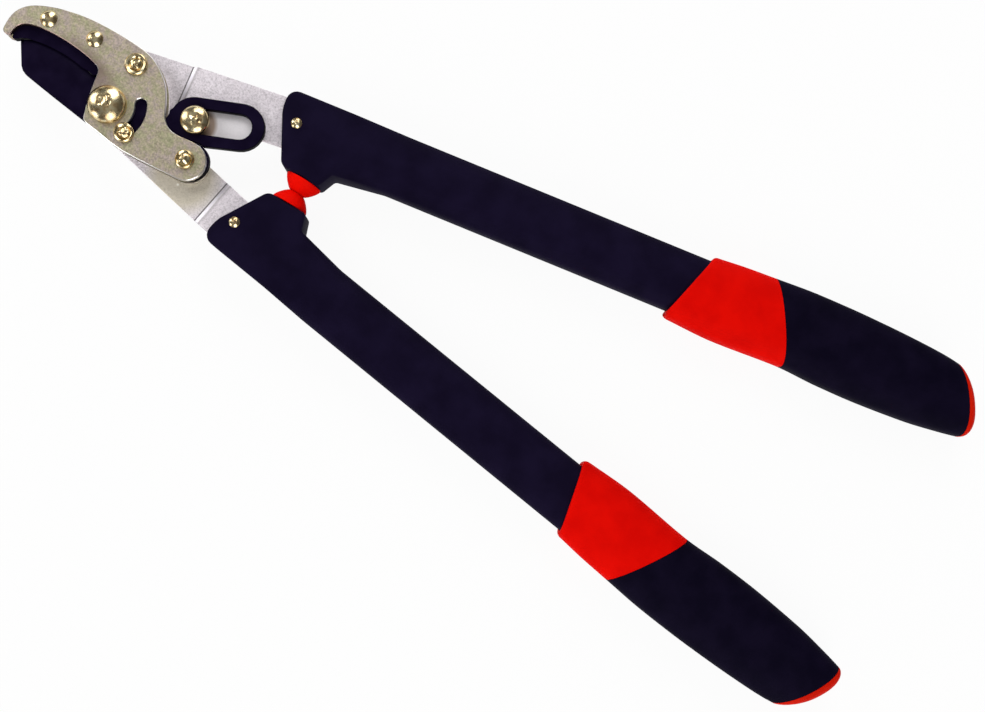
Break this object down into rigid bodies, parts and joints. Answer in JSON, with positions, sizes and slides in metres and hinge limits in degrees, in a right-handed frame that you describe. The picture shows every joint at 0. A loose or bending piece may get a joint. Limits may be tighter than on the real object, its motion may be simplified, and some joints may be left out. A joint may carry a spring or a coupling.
{
  "type": "anvil lopper",
  "caption": "Compound action anvil lopper with hooked side plates, a slotted blade loop, joggled steel straps and moulded handles with soft grips.",
  "frame": {"origin": "on the main pivot's axis, at the flat end of its bolt behind the nut, in the plane that the tool lies on", "axes": "+X from the head to the grips along the midline between the closed handles, +Y towards the moving handle, +Z out of the front plate; the jaw is closed"},
  "size_m": [0.6439, 0.2394, 0.0348],
  "materials": {
    "plate_steel": "ground and satin, with polished cut edges",
    "strap_steel": "fine blasted satin",
    "zinc_plating": "bright zinc plate with a pale yellow passivate",
    "coated_steel": "smooth non-stick coating, blue black",
    "nylon": "glass filled nylon, fine matt grain",
    "red_rubber": "soft moulded, satin",
    "black_rubber": "soft moulded, matt"
  },
  "bodies": {
    "head_and_fixed_handle": {"front_plate": "plate_steel", "rear_plate": "plate_steel", "anvil": "coated_steel", "tip_anvil_rivet": "zinc_plating", "heel_anvil_rivet": "zinc_plating", "pivot_bolt": "zinc_plating", "pivot_washer": "zinc_plating", "pivot_nut": "zinc_plating", "handle_pivot_rivet": "zinc_plating", "handle_pivot_bush": "zinc_plating", "lobe_rivet": "zinc_plating", "lobe_spacer": "coated_steel", "lower_strap": "strap_steel", "lower_handle": "nylon", "lower_handle_rivet": "zinc_plating", "lower_bumper": "red_rubber", "lower_sleeve": "red_rubber", "lower_grip": "black_rubber", "lower_end_cap": "red_rubber"},
    "cutting_blade": {"blade": "coated_steel", "stop_pin": "zinc_plating"},
    "moving_handle": {"upper_strap": "strap_steel", "drive_stud": "zinc_plating", "upper_handle": "nylon", "upper_handle_rivet": "zinc_plating", "upper_bumper": "red_rubber", "upper_sleeve": "red_rubber", "upper_grip": "black_rubber", "upper_end_cap": "red_rubber"},
    "slot_roller": {"drive_roller": "zinc_plating"}
  },
  "joints": [
    {"name": "moving_handle_hinge", "type": "hinge", "parent": "head_and_fixed_handle", "child": "moving_handle", "pos_m": [0.0014, 0.0307, 0.02], "axis": [0, 0, 1], "range_deg": [0, 90]},
    {"name": "blade_hinge", "type": "hinge", "parent": "head_and_fixed_handle", "child": "cutting_blade", "pos_m": [0, 0, 0.021], "axis": [0, 0, 1], "range_deg": [0, 60]},
    {"name": "roller_hinge", "type": "hinge", "parent": "moving_handle", "child": "slot_roller", "pos_m": [0.0498, 0.0198, 0.021], "axis": [0, 0, 1], "continuous": true}
  ],
  "couplings": [
    {"joint": "blade_hinge", "follows": "moving_handle_hinge", "ratio": 0.6666}
  ]
}
